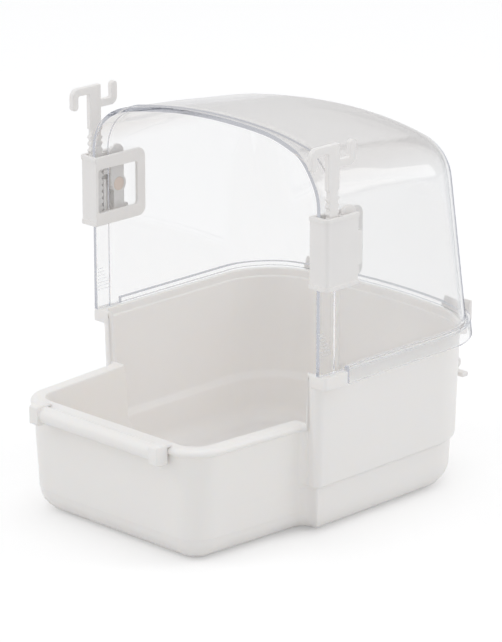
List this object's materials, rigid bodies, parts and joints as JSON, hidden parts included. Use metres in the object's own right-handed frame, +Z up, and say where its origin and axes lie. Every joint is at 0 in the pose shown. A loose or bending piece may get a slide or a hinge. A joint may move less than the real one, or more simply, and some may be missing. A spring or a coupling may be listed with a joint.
{
  "type": "cage bird bath",
  "caption": "Bird bath hung outside a cage: stepped tub with perch rail, clear arched hood, sliding holders with toothed hooks and catch levers, and rear latches.",
  "frame": {"origin": "middle of the bottom of the bounding box at rest", "axes": "+Z up, -Y towards the open front with the perch rail, +X to the right hook holder seen from behind the front rim"},
  "size_m": [0.141, 0.175, 0.1654],
  "materials": {
    "white_plastic": "moulded, semi-gloss",
    "clear_plastic": "clear, polished",
    "fitting_plastic": "moulded, satin",
    "pin_plastic": "plain"
  },
  "bodies": {
    "tub": {"tub": "white_plastic", "perch_rail": "white_plastic", "right_latch_pin": "pin_plastic", "left_latch_pin": "pin_plastic"},
    "hood": {"hood": "clear_plastic"},
    "right_holder": {"right_holder": "fitting_plastic", "right_pawl_pin": "pin_plastic"},
    "left_holder": {"left_holder": "fitting_plastic", "left_pawl_pin": "pin_plastic"},
    "right_hook": {"right_hook": "fitting_plastic"},
    "left_hook": {"left_hook": "fitting_plastic"},
    "right_pawl": {"right_pawl": "fitting_plastic"},
    "left_pawl": {"left_pawl": "fitting_plastic"},
    "right_latch": {"right_latch": "fitting_plastic"},
    "left_latch": {"left_latch": "fitting_plastic"}
  },
  "joints": [
    {"name": "hood_lift", "type": "slide", "parent": "tub", "child": "hood", "axis": [0, 0, 1], "range_m": [0, 0.11]},
    {"name": "right_holder_slide", "type": "slide", "parent": "hood", "child": "right_holder", "axis": [0, 0, 1], "range_m": [-0.015, 0]},
    {"name": "right_hook_slide", "type": "slide", "parent": "right_holder", "child": "right_hook", "axis": [0, 0, 1], "range_m": [-0.01, 0.01]},
    {"name": "right_pawl_press", "type": "hinge", "parent": "right_holder", "child": "right_pawl", "pos_m": [0.0663, -0.00993, 0.1215], "axis": [-1, 0, 0], "range_deg": [0, 6], "stiffness_Nm_per_rad": 0.05},
    {"name": "right_latch_swing", "type": "hinge", "parent": "tub", "child": "right_latch", "pos_m": [0.04, 0.08161, 0.0464], "axis": [-1, 0, 0], "range_deg": [0, 12], "stiffness_Nm_per_rad": 0.3},
    {"name": "left_holder_slide", "type": "slide", "parent": "hood", "child": "left_holder", "axis": [0, 0, 1], "range_m": [-0.015, 0]},
    {"name": "left_hook_slide", "type": "slide", "parent": "left_holder", "child": "left_hook", "axis": [0, 0, 1], "range_m": [-0.01, 0.01]},
    {"name": "left_pawl_press", "type": "hinge", "parent": "left_holder", "child": "left_pawl", "pos_m": [-0.0663, -0.00993, 0.1215], "axis": [-1, 0, 0], "range_deg": [0, 6], "stiffness_Nm_per_rad": 0.05},
    {"name": "left_latch_swing", "type": "hinge", "parent": "tub", "child": "left_latch", "pos_m": [-0.04, 0.08161, 0.0464], "axis": [-1, 0, 0], "range_deg": [0, 12], "stiffness_Nm_per_rad": 0.3}
  ]
}
